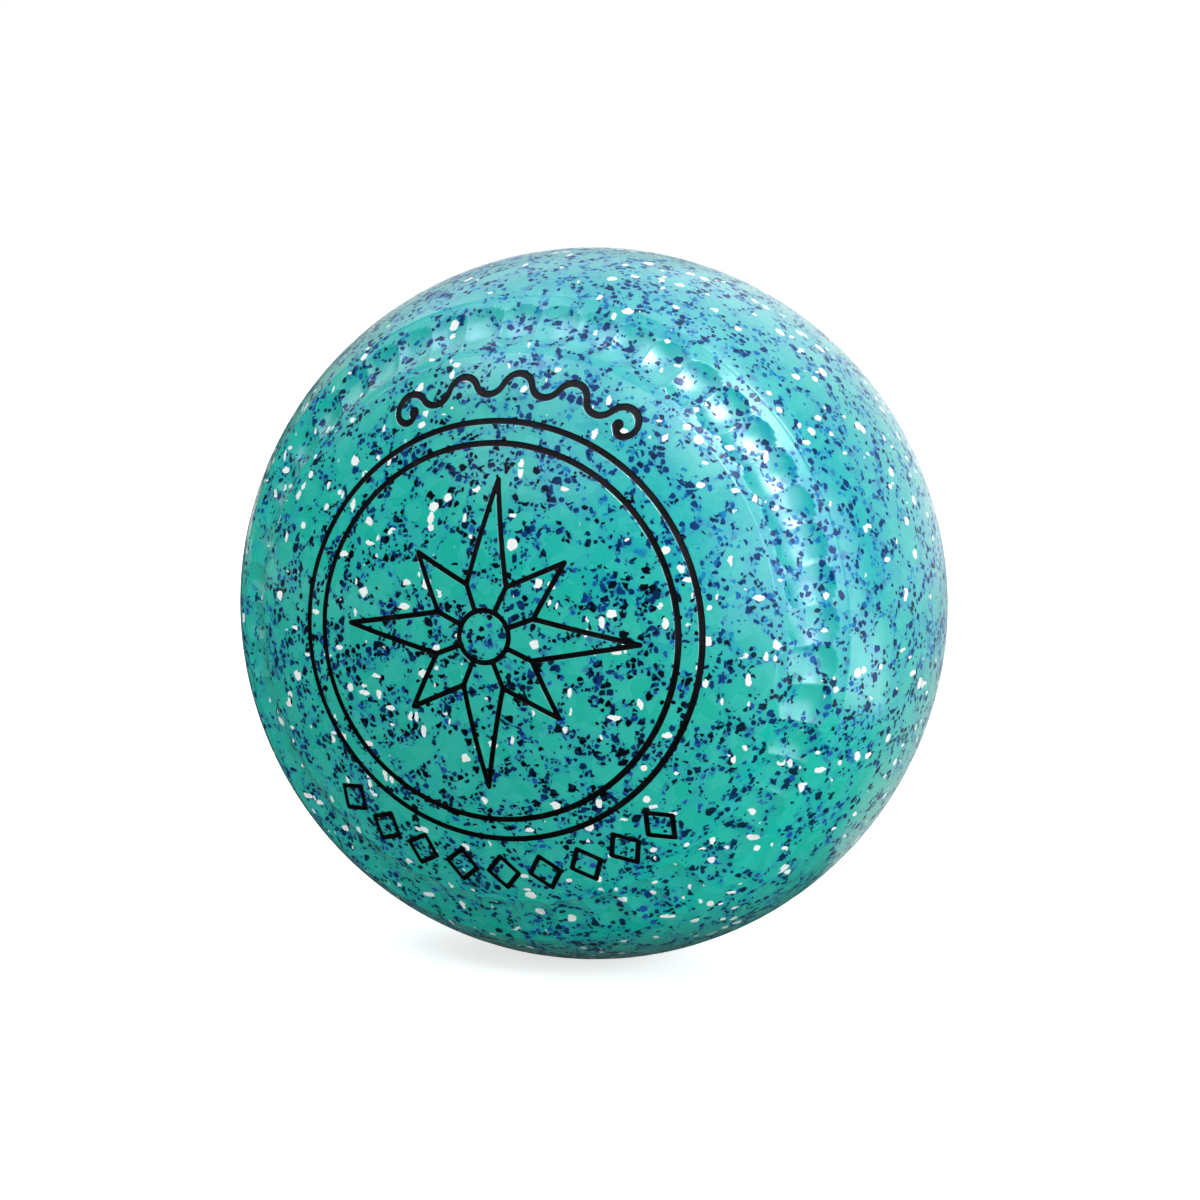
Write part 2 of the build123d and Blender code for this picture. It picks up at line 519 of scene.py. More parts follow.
# %% From the drawing onto the dome
def lifted(points, up, side):
    """Drawing points as places in space, some height out from the middle plane."""
    return np.stack([points[:, 0], FACING[side] * up, points[:, 1]], axis=-1)


def dome_point(points, depth, side):
    """Lift drawing points onto the dome, some depth under its surface."""
    _, height, radius = ARCS[side]["dome"]
    return lifted(points, height + np.sqrt((radius - depth) ** 2 - (points**2).sum(1)), side)


def dome_normal(points, side):
    """The bare dome's normals at drawing points."""
    _, _, radius = ARCS[side]["dome"]
    return lifted(points, np.sqrt(radius**2 - (points**2).sum(1)), side) / radius


def tilted_normals(points, way, steepness, side):
    """The bare dome's normals, leaned back from a direction by how steeply the surface rises there."""
    normals = dome_normal(points, side) - steepness[:, None] * lifted(way, np.zeros(len(way)), side)
    return normals / np.linalg.norm(normals, axis=1, keepdims=True)


# %% Carved domes
def points_round(radius, spacing, fewest):
    """How many points go round a circle at about one spacing."""
    return max(fewest, round(2 * math.pi * radius / spacing))


def carved_dome(side):
    """Corners, normals and triangles of one side, out to the channel."""
    rim = CHANNEL_INNER - EDGE_ROUNDING * math.cos(lean_at(ARCS[side]["dome"], CHANNEL_INNER))
    parts = [loop(rim, TURNS), (circle(rim - FIRST_ROW, COLUMNS // 2)[0], [])]
    loose = [np.zeros((1, 2))]
    for radius in np.arange(LOOSE_MARGIN, rim - LOOSE_MARGIN, LOOSE_ROW):
        loose.append(circle(radius, points_round(radius, LOOSE_SPACING, 6))[0])
    loose = np.concatenate(loose)
    parts.append((loose[nearest_groove(loose, side)[0] > CLEAR_OF_GROOVE], []))
    for ring in RINGS[side]:
        count = points_round(ring, RING_SPACING, 120)
        for gap in PROFILE_DISTANCE:
            parts += [circle(ring + RING_LINE / 2 + gap, count), circle(ring - RING_LINE / 2 - gap, count)]
    parts += [contour(chart, gap) for chart in MAPS_OF[side] for gap in PROFILE_DISTANCE]
    corners, triangles = triangulate(parts)
    gap, way = nearest_groove(corners, side)
    points = dome_point(corners, np.interp(gap, PROFILE_DISTANCE, PROFILE_DEPTH), side)
    normals = tilted_normals(corners, way, np.interp(gap, PROFILE_DISTANCE, PROFILE_SLOPE), side)
    return corners, points, normals, triangles


DOMES = {side: carved_dome(side) for side in FACING}
for side, (_, points, _, triangles) in DOMES.items():
    print(side, "dome:", len(points), "corners,", len(triangles), "triangles")

# %% [markdown]
# ## Joining the skin
#
# The skin is built from the large side's dome over channel, shoulder and sole to the small side's
# dome. All bands between the domes share the same columns, set closer together near the ridges
# between scoops, where the surface turns quickest. Inside, the skin has the drum-shaped hollow that
# the core fills. The exact normals go onto the mesh as custom normals, so its gloss doesn't depend
# on how it was divided.

# %% Bands from rim to rim
CHANNEL_ROWS = 31
CHANNEL_CROWDING = 0.6
SHOULDER_STEP = math.radians(2.6)


def bands_of(side):
    """Rows of points and normals from the channel to the running line."""
    arcs, cut = ARCS[side], CHANNEL[side]
    rows = []
    part = crowded(np.linspace(0, 1, CHANNEL_ROWS), CHANNEL_CROWDING)
    for across in EDGE_ROUNDING + part * (cut["width"] - 2 * EDGE_ROUNDING):
        here = np.full(COLUMNS, across)
        rows.append((channel_surface(here, TURNS, side), channel_normals(here, TURNS, side)))
    first = lean_at(arcs["shoulder"], CHANNEL_OUTER) + EDGE_ROUNDING / SHOULDER_RADIUS
    last = math.pi / 2 - SOLE_END
    for name, start, end in (("shoulder", first, last), ("sole", last, math.pi / 2)):
        count = math.ceil((end - start) / SHOULDER_STEP)
        for lean in np.linspace(start, end, count, endpoint=name == "sole"):
            section = np.broadcast_to(on_arc(arcs[name], lean), (COLUMNS, 2))
            normal = np.broadcast_to(np.array([math.sin(lean), math.cos(lean)]), (COLUMNS, 2))
            rows.append((spin(section, TURNS, side), spin(normal, TURNS, side)))
    return rows


# %% From corners to a piece
def add_object(name, data):
    """A new object in the scene that shows some data."""
    thing = bpy.data.objects.new(name, data)
    bpy.context.scene.collection.objects.link(thing)
    return thing


def make_piece(name, points, faces, normals):
    """A mesh object from sets of corners in millimetres and of their exact normals."""
    mesh = bpy.data.meshes.new(name)
    mesh.from_pydata((np.concatenate(points) * MM).tolist(), [], faces)
    mesh.validate()
    mesh.polygons.foreach_set("use_smooth", np.ones(len(mesh.polygons), bool))
    mesh.update()
    mesh.normals_split_custom_set_from_vertices(np.concatenate(normals).tolist())
    print(name, "has", len(mesh.polygons), "faces")
    return add_object(name, mesh)


# %% The hollow for the core
HOLLOW_COLUMNS = 96


def strip(first, second):
    """Quads between two rows of corner numbers that close on themselves."""
    a, b = np.asarray(first), np.asarray(second)
    return np.stack([a, np.roll(a, -1), np.roll(b, -1), b], axis=-1)


def hollow_for_core():
    """Corners and faces of the drum-shaped hollow, facing inwards."""
    half = [(CORE_RADIUS - CORE_BEVEL, CORE_HALF_LENGTH), (CORE_RADIUS, CORE_HALF_LENGTH - CORE_BEVEL)]
    outline = half + [(radius, -height) for radius, height in half[::-1]]
    turns = even_turns(HOLLOW_COLUMNS)
    points = [spin(np.full((HOLLOW_COLUMNS, 2), place), turns, "small") for place in outline]
    rows = np.arange(len(outline) * HOLLOW_COLUMNS).reshape(-1, HOLLOW_COLUMNS)
    faces = [face for k in range(len(outline) - 1) for face in strip(rows[k], rows[k + 1]).tolist()]
    faces += [rows[0, ::-1].tolist(), rows[-1].tolist()]
    return np.concatenate(points), faces


# %% Assemble the skin
def ordered_rim(corners):
    """Numbers of a dome's outermost corners, in the order of the columns."""
    from_axis = np.linalg.norm(corners, axis=1)
    rim = np.nonzero(from_axis > from_axis.max() - 0.05)[0]
    turn = np.arctan2(corners[rim, 0], corners[rim, 1]) % (2 * math.pi)
    return rim[np.argsort(turn)]


def make_skin():
    """The whole polished skin as one closed mesh."""
    points, normals, faces, count = [], [], [], 0

    def add(new_points, new_normals):
        """Take up a set of corners, and give the number of its first."""
        nonlocal count
        points.append(new_points)
        normals.append(new_normals)
        count += len(new_points)
        return count - len(new_points)

    corners, dome_points, dome_normals, triangles = DOMES["large"]
    first = add(dome_points, dome_normals)
    faces += (triangles + first).tolist()
    previous = ordered_rim(corners) + first
    # The running line belongs to both halves, so the small side's rows leave it out.
    for row in bands_of("large") + bands_of("small")[::-1][1:]:
        numbers = add(*row) + np.arange(COLUMNS)
        faces += strip(previous, numbers).tolist()
        previous = numbers
    corners, dome_points, dome_normals, triangles = DOMES["small"]
    first = add(dome_points, dome_normals)
    faces += (triangles[:, ::-1] + first).tolist()
    faces += strip(previous, ordered_rim(corners) + first).tolist()
    hollow_points, hollow_faces = hollow_for_core()
    first = add(hollow_points, -hollow_points / np.linalg.norm(hollow_points, axis=1, keepdims=True))
    faces += [[number + first for number in face] for face in hollow_faces]
    return make_piece("polished_skin", points, faces, normals)


skin = make_skin()
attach(skin, "root")
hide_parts("outer_shell")

# %% [markdown]
# ## The enamel
#
# Enamel is brushed over the engraving and wiped off flush, so it stays in the grooves, a hair
# below the surface and hollowed like any liquid that dried in a trough. Each drawing's enamel is its
# own closed piece. The rings are lathe work, so theirs are turned from one small section, and the
# drawn lines use the same contour trick as the dome.

# %% Enamel in turned rings
ENAMEL_DISTANCE = (-0.26, -0.10, 0.02)
ENAMEL_DEPTH = (0.17, 0.14, 0.09)
ENAMEL_SLOPE = (0.0, 0.25, 0.45)
ENAMEL_FLOOR = GROOVE_DEPTH - 0.03
ENAMEL_SPACING = 0.8


def enamel_normals(points, way, gap, side):
    """Normals of the hollowed enamel, which rises towards the groove's edges."""
    return tilted_normals(points, way, np.interp(gap, ENAMEL_DISTANCE, ENAMEL_SLOPE), side)


def ring_enamel(name, side, ring):
    """The enamel of one turned ring, spun from its section."""
    half_line = RING_LINE / 2
    section = [(sign * (half_line + gap), gap, depth)
               for sign in (1, -1)
               for gap, depth in list(zip(ENAMEL_DISTANCE, ENAMEL_DEPTH))[::-sign]]
    section += [(sign * (half_line + ENAMEL_DISTANCE[-1]), 0.0, ENAMEL_FLOOR) for sign in (-1, 1)]
    count = points_round(ring, ENAMEL_SPACING, 160)
    turns = even_turns(count)
    points, normals = [], []
    for offset, gap, depth in section:
        drawn, _ = loop(ring + offset, turns)
        points.append(dome_point(drawn, depth, side))
        way = np.sign(offset) * drawn / np.linalg.norm(drawn, axis=1, keepdims=True)
        upward = enamel_normals(drawn, way, np.full(count, gap), side)
        normals.append(upward if depth < ENAMEL_FLOOR else -dome_normal(drawn, side))
    rows = np.arange(len(section) * count).reshape(-1, count)
    faces = []
    for first, second in zip(rows, np.roll(rows, -1, axis=0)):
        quads = strip(first, second)
        faces += (quads[:, ::-1] if side == "large" else quads).tolist()
    return make_piece(name, points, faces, normals)


# %% Enamel in drawn lines
def line_enamel(name, drawing):
    """The enamel in one drawing's grooves."""
    side, chart = DRAWINGS[drawing][0], MAPS[drawing]
    corners, triangles = triangulate([contour(chart, gap) for gap in ENAMEL_DISTANCE])
    middle = corners[triangles].mean(1)
    triangles = triangles[chart.distance(middle) < ENAMEL_DISTANCE[-1]]
    gap = chart.distance(corners)
    top = dome_point(corners, np.interp(gap, ENAMEL_DISTANCE, ENAMEL_DEPTH), side)
    floor = dome_point(corners, ENAMEL_FLOOR, side)
    edges = np.concatenate([triangles[:, [0, 1]], triangles[:, [1, 2]], triangles[:, [2, 0]]])
    key = np.sort(edges, axis=1) @ (len(corners), 1)
    _, first, times = np.unique(key, return_index=True, return_counts=True)
    border = edges[first[times == 1]]
    walls = np.stack([border[:, 1], border[:, 0], border[:, 0] + len(top), border[:, 1] + len(top)], axis=-1)
    faces = triangles.tolist() + (triangles[:, ::-1] + len(top)).tolist() + walls.tolist()
    if side == "small":
        faces = [face[::-1] for face in faces]
    normals = [enamel_normals(corners, chart.slope(corners), gap, side), -dome_normal(corners, side)]
    return make_piece(name, [top, floor], faces, normals)


# %% Fill the grooves
enamel = []
for side, rings in RINGS.items():
    for place, ring in zip(("outer", "inner"), rings):
        piece = ring_enamel(f"{side}_{place}_ring_enamel", side, ring)
        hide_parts(f"{side}_{place}_ring_paint")
        enamel.append(piece)
for drawing in DRAWINGS:
    piece = line_enamel(f"{drawing}_enamel", drawing)
    if drawing.endswith("rose"):
        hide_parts(f"{drawing}_paint")
    enamel.append(piece)
for piece in enamel:
    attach(piece, "root")

# %% [markdown]
# ## Tools for materials
#
# The finishes are built from a few node groups with named inputs, so that the same effect can be
# placed again with other values. Each group gives out only masks, values or places. Shaders stay in
# the materials. Patterns run through the solid, in object coordinates, because the resin's colours
# do too: the surface only shows where the lathe happened to cut them.

# %% Small helpers for node trees
def feed(tree, socket, value):
    """Link a socket to an input, or set the input to a number."""
    if isinstance(value, bpy.types.NodeSocket):
        tree.links.new(value, socket)
    else:
        socket.default_value = value


def put(tree, kind, inputs=(), **settings):
    """Add a node. Inputs are given by name, as numbers or as sockets to link from."""
    node = tree.nodes.new(kind)
    for setting, value in settings.items():
        setattr(node, setting, value)
    for name, value in dict(inputs).items():
        feed(tree, node.inputs[name], value)
    return node


def math_node(tree, operation, *values):
    """A Math node's result."""
    return put(tree, "ShaderNodeMath", enumerate(values), operation=operation).outputs[0]


def times(tree, first, second):
    """The product of two values."""
    return math_node(tree, "MULTIPLY", first, second)


def vector_node(tree, operation, *values):
    """A Vector Math node's vector result."""
    return put(tree, "ShaderNodeVectorMath", enumerate(values), operation=operation).outputs["Vector"]


def scaled(tree, vector, factor):
    """A vector times a number."""
    node = put(tree, "ShaderNodeVectorMath", {0: vector, "Scale": factor}, operation="SCALE")
    return node.outputs["Vector"]


def ramp(tree, value, low, high, to_low=0.0, to_high=1.0):
    """Ease a value from one range into another."""
    node = put(tree, "ShaderNodeMapRange", {"Value": value, "From Min": low, "From Max": high,
                                            "To Min": to_low, "To Max": to_high},
               interpolation_type="SMOOTHSTEP")
    return node.outputs["Result"]


# %% Helpers for textures and colours
def cloudy(tree, point, scale, detail, **more):
    """A Noise texture's outputs. The first is its value."""
    inputs = {"Vector": point, "Scale": scale, "Detail": detail, **more}
    return put(tree, "ShaderNodeTexNoise", inputs).outputs


def voronoi(tree, point, feature):
    """A Voronoi texture's outputs, with cells of about one unit."""
    return put(tree, "ShaderNodeTexVoronoi", {"Vector": point, "Scale": 1.0}, feature=feature).outputs


def channels(tree, tint):
    """The red, green and blue of a colour."""
    return put(tree, "ShaderNodeSeparateColor", {"Color": tint}).outputs


def mix_colour(tree, share, first, second):
    """Mix two colours by a share from 0 to 1. The colours' sockets have the numbers 6 and 7."""
    return put(tree, "ShaderNodeMix", {0: share, 6: first, 7: second}, data_type="RGBA").outputs[2]


def colour(red, green, blue):
    """A colour from its 0 to 255 values on a screen, as the linear values that Blender uses."""
    linear = [(part / 255) / 12.92 if part <= 10 else ((part / 255 + 0.055) / 1.055) ** 2.4
              for part in (red, green, blue)]
    return (*linear, 1.0)


# %% Helpers for node groups
def new_group(name, inputs, outputs):
    """An empty node group with named sockets. Inputs are (name, kind, default)."""
    group = bpy.data.node_groups.new(name, "ShaderNodeTree")
    for socket_name, kind, default in inputs:
        socket = group.interface.new_socket(socket_name, in_out="INPUT", socket_type=kind)
        if default is not None:
            socket.default_value = default
    for socket_name, kind in outputs:
        group.interface.new_socket(socket_name, in_out="OUTPUT", socket_type=kind)
    return group, group.nodes.new("NodeGroupInput").outputs, group.nodes.new("NodeGroupOutput").inputs


def use_group(tree, group, **inputs):
    """Place a node group and give its outputs. An input's name has _ for each space."""
    named = {name.replace("_", " "): value for name, value in inputs.items()}
    return put(tree, "ShaderNodeGroup", named, node_tree=group).outputs


# %% [markdown]
# ### Chips in the resin
#
# The speckle is made by stirring hard chips of other colours into the resin powder before it is
# pressed. A Voronoi texture splits space into cells that look just like such chips: angular, of
# uneven size, touching here and there. A cell becomes a chip when its random number is below a
# share, and that share can itself vary from place to place, which is what makes bunches and drifts.
# Another group bends the coordinates first, so that no edge is quite straight. The third gives the
# slow unevenness that a polishing wheel leaves.

# %% Group: bent coordinates
FLOAT, VECTOR = "NodeSocketFloat", "NodeSocketVector"

bend_group, given, result = new_group(
    "Bent Point",
    [("Point", VECTOR, None), ("Waves per mm", FLOAT, 1.0), ("Amount", FLOAT, 1.0)],
    [("Point", VECTOR)])
noise = cloudy(bend_group, given["Point"], given["Waves per mm"], 2.0, Roughness=0.55)
centred = vector_node(bend_group, "SUBTRACT", noise["Color"], (0.5, 0.5, 0.5))
moved = vector_node(bend_group, "ADD", given["Point"], scaled(bend_group, centred, given["Amount"]))
bend_group.links.new(moved, result["Point"])

# %% Group: chips
chip_group, given, result = new_group(
    "Chips",
    [("Point", VECTOR, None), ("Chip Size", FLOAT, 1.0), ("Share", FLOAT, 0.1), ("Gap", FLOAT, 0.05),
     ("Reach", FLOAT, 0.9), ("Stretch", VECTOR, (1.0, 1.0, 1.0)), ("Batch", VECTOR, (0.0, 0.0, 0.0)),
     ("Softness", FLOAT, 0.04)],
    [("Mask", FLOAT), ("Tone", FLOAT)])
shrink = math_node(chip_group, "DIVIDE", 1.0, given["Chip Size"])
stretched = vector_node(chip_group, "MULTIPLY", given["Point"], given["Stretch"])
cells = vector_node(chip_group, "ADD", scaled(chip_group, stretched, shrink), given["Batch"])
nearest = voronoi(chip_group, cells, "F1")
border = voronoi(chip_group, cells, "DISTANCE_TO_EDGE")
random = channels(chip_group, nearest["Color"])
chosen = math_node(chip_group, "LESS_THAN", random["Red"], given["Share"])
past_gap = math_node(chip_group, "SUBTRACT", border["Distance"], given["Gap"])
uneven = ramp(chip_group, random["Green"], 0.0, 1.0, 0.55, 1.1)
reach = times(chip_group, given["Reach"], uneven)
within_reach = math_node(chip_group, "SUBTRACT", reach, nearest["Distance"])
depth_in = math_node(chip_group, "MINIMUM", past_gap, within_reach)
solid = put(chip_group, "ShaderNodeMapRange",
            {"Value": depth_in, "From Min": 0.0, "From Max": given["Softness"]}).outputs["Result"]
chip_group.links.new(times(chip_group, chosen, solid), result["Mask"])
chip_group.links.new(random["Blue"], result["Tone"])

# %% Group: polish
polish_group, given, result = new_group(
    "Polish",
    [("Point", VECTOR, None), ("Smoothness", FLOAT, 0.1), ("Unevenness", FLOAT, 0.05)],
    [("Roughness", FLOAT), ("Height", FLOAT)])
cloud = cloudy(polish_group, given["Point"], 0.12, 3.0)[0]
swirl = cloudy(polish_group, given["Point"], 2.2, 2.0)[0]
patches = ramp(polish_group, cloud, 0.35, 0.7)
rougher = times(polish_group, given["Unevenness"], patches)
polish_group.links.new(math_node(polish_group, "ADD", given["Smoothness"], rougher), result["Roughness"])
ripple = math_node(polish_group, "MULTIPLY_ADD", swirl, 0.06, cloud)
polish_group.links.new(ripple, result["Height"])
print("node groups:", [group.name for group in bpy.data.node_groups])

# %% [markdown]
# ### The speckled resin
#
# Looked at closely, the resin is a mass of clear teal grains, a few millimetres across. The dark
# chips did not get into the grains, so they lie in chains between them. From the bottom up, the
# colour is: teal that turns bluer towards the lit upper right, which is painted bluish sheen, grains
# that differ a little, a blue haze where chips crowd, royal and azure chips, three sizes of dark
# chips, and last the white flakes. Dark chips are near black on the domes, and some are navy. On
# the lit side they are fewer and bluer, and away from the axis fewer and a deep teal: painted sheen,
# of the lamps and of the grazing rim.
#
# The shine is a clear coat over a base that hardly mirrors. Chips take the polish badly, so the
# coat thins out on them and they stay dark inside a highlight. So do the flat edges of the grip
# channels, which the polishing wheel doesn't reach.

# %% Starting, ending and placing a material
def empty_material(name):
    """A material, its tree and the socket for its shader."""
    material = bpy.data.materials.new(name)
    material.use_nodes = True
    tree = material.node_tree
    tree.nodes.clear()
    return material, tree, put(tree, "ShaderNodeOutputMaterial").inputs["Surface"]


def solid_material(name):
    """The same for a finish that runs through the solid, with the object point in millimetres."""
    material, tree, surface = empty_material(name)
    place = put(tree, "ShaderNodeTexCoord").outputs["Object"]
    return material, tree, surface, scaled(tree, place, 1 / MM)


def rough(tree, height, strength, depth):
    """Normals that a bump of some depth in millimetres has tilted."""
    inputs = {"Height": height, "Strength": strength, "Distance": depth * MM}
    return put(tree, "ShaderNodeBump", inputs).outputs["Normal"]


def dress(pieces, material):
    """Put a material on pieces."""
    for piece in pieces:
        piece.data.materials.clear()
        piece.data.materials.append(material)
    print(material.name, "has", len(material.node_tree.nodes), "nodes; pieces dressed:", len(pieces))


def end_material(pieces, material, surface, inputs):
    """End a material in a Principled shader and put it on pieces."""
    shader = put(material.node_tree, "ShaderNodeBsdfPrincipled", inputs)
    material.node_tree.links.new(shader.outputs["BSDF"], surface)
    dress(pieces, material)


# %% Resin: where chips crowd
# In the seams between grains, and in some places more than in others.
GRAIN_SIZE = 6.2

resin, tree, surface, point = solid_material("speckled_resin")
bent = use_group(tree, bend_group, Point=point, Waves_per_mm=0.9, Amount=0.8)["Point"]
fine = use_group(tree, bend_group, Point=bent, Waves_per_mm=3.2, Amount=0.22)["Point"]
wide = use_group(tree, bend_group, Point=point, Waves_per_mm=0.15, Amount=6.0)["Point"]
seam = voronoi(tree, scaled(tree, wide, 1 / GRAIN_SIZE), "DISTANCE_TO_EDGE")["Distance"]
bunches = ramp(tree, cloudy(tree, point, 0.13, 2.0)[0], 0.34, 0.60, 0.50, 1.0)
crowd = times(tree, ramp(tree, seam, 0.03, 0.25, 1.0, 0.0), bunches)
print("grains:", GRAIN_SIZE, "mm; nodes so far:", len(tree.nodes))

# %% Resin: painted sheen on the lit side and on the rim
# Bluer towards the lit upper right: painted bluish sheen. From ink to deep teal away from the axis:
# painted sheen of the grazing rim.
# The lit upper right, where the bluish sheen of the lamps is painted into the colour.
LIT_SIDE = (0.50, 0.15, 0.85)
# Distances from the axis between which the painted sheen of the grazing rim grows in.
RIM_SHEEN_START, RIM_SHEEN_FULL = 32.0, 52.0

# How far towards the lit side: the share of painted bluish sheen.
across = put(tree, "ShaderNodeVectorMath", {0: point, 1: LIT_SIDE}, operation="DOT_PRODUCT")
lit_side_sheen = math_node(tree, "MULTIPLY_ADD", across.outputs["Value"], 1 / RUNNING_RADIUS,
                     cloudy(tree, point, 0.03, 1.0)[0])
lit_side_sheen = ramp(tree, lit_side_sheen, 0.40, 1.30)
flat = vector_node(tree, "MULTIPLY", point, (1.0, 0.0, 1.0))
from_axis = put(tree, "ShaderNodeVectorMath", {0: flat}, operation="LENGTH").outputs["Value"]
# Share of painted rim sheen, which grows away from the axis.
outer = ramp(tree, from_axis, RIM_SHEEN_START, RIM_SHEEN_FULL)
print("nodes so far:", len(tree.nodes))

# %% Resin: the teal, with its pale flecks and its haze
TEAL = colour(3, 178, 158)
# The teal under the painted bluish sheen of the lit side.
TEAL_UNDER_SHEEN = colour(18, 173, 177)
TEAL_PALER = colour(56, 193, 184)
AZURE = colour(10, 124, 186)
FLECK_SIZE = 2.6

# The teal turns bluer towards the lit side: painted sheen.
body = mix_colour(tree, lit_side_sheen, TEAL, TEAL_UNDER_SHEEN)
flecks = channels(tree, voronoi(tree, scaled(tree, fine, 1 / FLECK_SIZE), "F1")["Color"])
body = mix_colour(tree, ramp(tree, flecks["Red"], 0.0, 1.0, 0.0, 0.4), body, TEAL_PALER)
# A blue haze where chips crowd. It grows a little towards the lit side, and that part is painted sheen.
haze = times(tree, ramp(tree, crowd, 0.1, 0.9), ramp(tree, lit_side_sheen, 0.0, 1.0, 0.20, 0.26))
body = mix_colour(tree, haze, body, AZURE)
print("nodes so far:", len(tree.nodes))

# %% Resin: blue chips
ROYAL = colour(26, 60, 160)
# Royal chips turn this blue on the lit side: painted bluish sheen.
ROYAL_UNDER_SHEEN = colour(4, 92, 164)


def chips(size, share, reach=0.6, **values):
    """One batch of chips in the resin."""
    return use_group(resin.node_tree, chip_group, Point=fine, Chip_Size=size, Share=share,
                     Reach=reach, **values)


# Royal chips, bluer on the lit side, where that is painted sheen.
blue = mix_colour(tree, lit_side_sheen, ROYAL, ROYAL_UNDER_SHEEN)
smudge = chips(1.9, times(tree, crowd, 0.34), Batch=(31.7, 4.2, 9.9), Softness=0.25)["Mask"]
royal = chips(1.15, times(tree, crowd, 0.26), Batch=(3.1, 47.2, 1.9))["Mask"]
# Azure chips only on the lit side: partly azure chips, partly painted bluish sheen on dark chips.
azure_share_on_lit_side = times(tree, lit_side_sheen, math_node(tree, "MULTIPLY_ADD", crowd, 0.34, 0.05))
azure = chips(0.95, azure_share_on_lit_side, Batch=(81.3, 7.7, 60.1))["Mask"]
for mask, strength, tint in ((smudge, 0.6, blue), (royal, 0.9, blue), (azure, 0.85, AZURE)):
    body = mix_colour(tree, times(tree, mask, strength), body, tint)
dull = math_node(tree, "MAXIMUM", royal, azure)
print("nodes so far:", len(tree.nodes))

# %% Resin: dark chips, fewer under painted sheen: on the lit side and away from the axis
INK = colour(1, 12, 22)
# Dark chips turn this deep teal away from the axis: painted sheen of the grazing rim.
INK_UNDER_RIM_SHEEN = colour(1, 44, 62)
NAVY = colour(4, 56, 116)
# Chip size, share in a crowd, share alone, and batch.
DARK_CHIPS = ((1.65, 0.78, 0.012, (11.3, 8.1, 55.4)),
              (1.2, 0.74, 0.012, (51.3, 3.1, 25.4)),
              (0.8, 0.38, 0.012, (71.9, 18.8, 5.3)))

# Fewer dark chips on the lit side and away from the axis, where painted sheen washes them out.
fewer_under_sheen = times(tree, ramp(tree, lit_side_sheen, 0.0, 1.0, 1.0, 0.7), ramp(tree, outer, 0.0, 1.0, 1.0, 0.66))
# Ink turns deep teal away from the axis: painted rim sheen.
ink = mix_colour(tree, outer, INK, INK_UNDER_RIM_SHEEN)
for size, in_crowd, alone, batch in DARK_CHIPS:
    share = math_node(tree, "MULTIPLY_ADD", times(tree, crowd, fewer_under_sheen), in_crowd, alone)
    dark = chips(size, share, Batch=batch, Softness=0.09)
    # Chips turn navy by their own random tone, and more so on the lit side, where it is painted sheen.
    shade = ramp(tree, math_node(tree, "MULTIPLY_ADD", lit_side_sheen, 0.5, dark["Tone"]), 0.35, 1.05)
    body = mix_colour(tree, dark["Mask"], body, mix_colour(tree, shade, ink, NAVY))
    dull = math_node(tree, "MAXIMUM", dull, dark["Mask"])
print("batches of dark chips:", len(DARK_CHIPS))

# %% Resin: white flakes
WHITE = colour(238, 246, 244)
# Chip size, share, reach, stretch and batch.
WHITE_FLAKES = ((2.5, 0.10, 0.38, (1.0, 1.0, 1.0), (5.5, 91.0, 23.0)),
                (2.0, 0.05, 0.42, (1.6, 0.8, 0.75), (45.1, 33.3, 12.2)),
                (2.0, 0.05, 0.42, (0.75, 0.8, 1.6), (15.7, 63.9, 82.4)))

for size, share, reach, stretch, batch in WHITE_FLAKES:
    body = mix_colour(tree, chips(size, share, reach, Stretch=stretch, Batch=batch)["Mask"], body, WHITE)
print("batches of white flakes:", len(WHITE_FLAKES))

# %% Resin: its gloss
CHIP_GLOSS = 0.06
SATIN_GLOSS = 0.35
# Distances from the axis where the flat edges of the channel begin, are full, still full, and end.
SATIN_BANDS = ((46.3, 46.7, 47.4, 48.4), (53.4, 54.5, 56.0, 56.3))

gloss = ramp(tree, dull, 0.0, 1.0, 1.0, CHIP_GLOSS)
for first, full, still, last in SATIN_BANDS:
    band = times(tree, ramp(tree, from_axis, first, full), ramp(tree, from_axis, still, last, 1.0, 0.0))
    gloss = times(tree, gloss, ramp(tree, band, 0.0, 1.0, 1.0, SATIN_GLOSS))
polish = use_group(tree, polish_group, Point=point, Smoothness=0.24, Unevenness=0.05)
end_material([skin], resin, surface, {
    "Base Color": body, "Roughness": polish["Roughness"], "Specular IOR Level": 0.1,
    "Coat Weight": gloss, "Coat Roughness": 0.24, "Coat IOR": 1.52,
    "Normal": rough(tree, polish["Height"], 0.03, 0.1)})

# %% [markdown]
# ### Enamel and core
#
# The enamel is a dull black with a faint brown tint in random patches. The core never
# shows, but it is a real piece, so it gets the finish of pressed, unpolished resin.

# %% Enamel: black, wiped, with faint brown patches
paint, tree, surface, point = solid_material("groove_enamel")
brown_patches = cloudy(tree, point, 0.7, 4.0)[0]
body = mix_colour(tree, ramp(tree, brown_patches, 0.5, 0.8, 0.0, 0.35), colour(3, 5, 6), colour(46, 38, 32))
polish = use_group(tree, polish_group, Point=point, Smoothness=0.32, Unevenness=0.25)
end_material(enamel, paint, surface, {
    "Base Color": body, "Roughness": polish["Roughness"], "Specular IOR Level": 0.12,
    "Normal": rough(tree, brown_patches, 0.15, 0.05)})

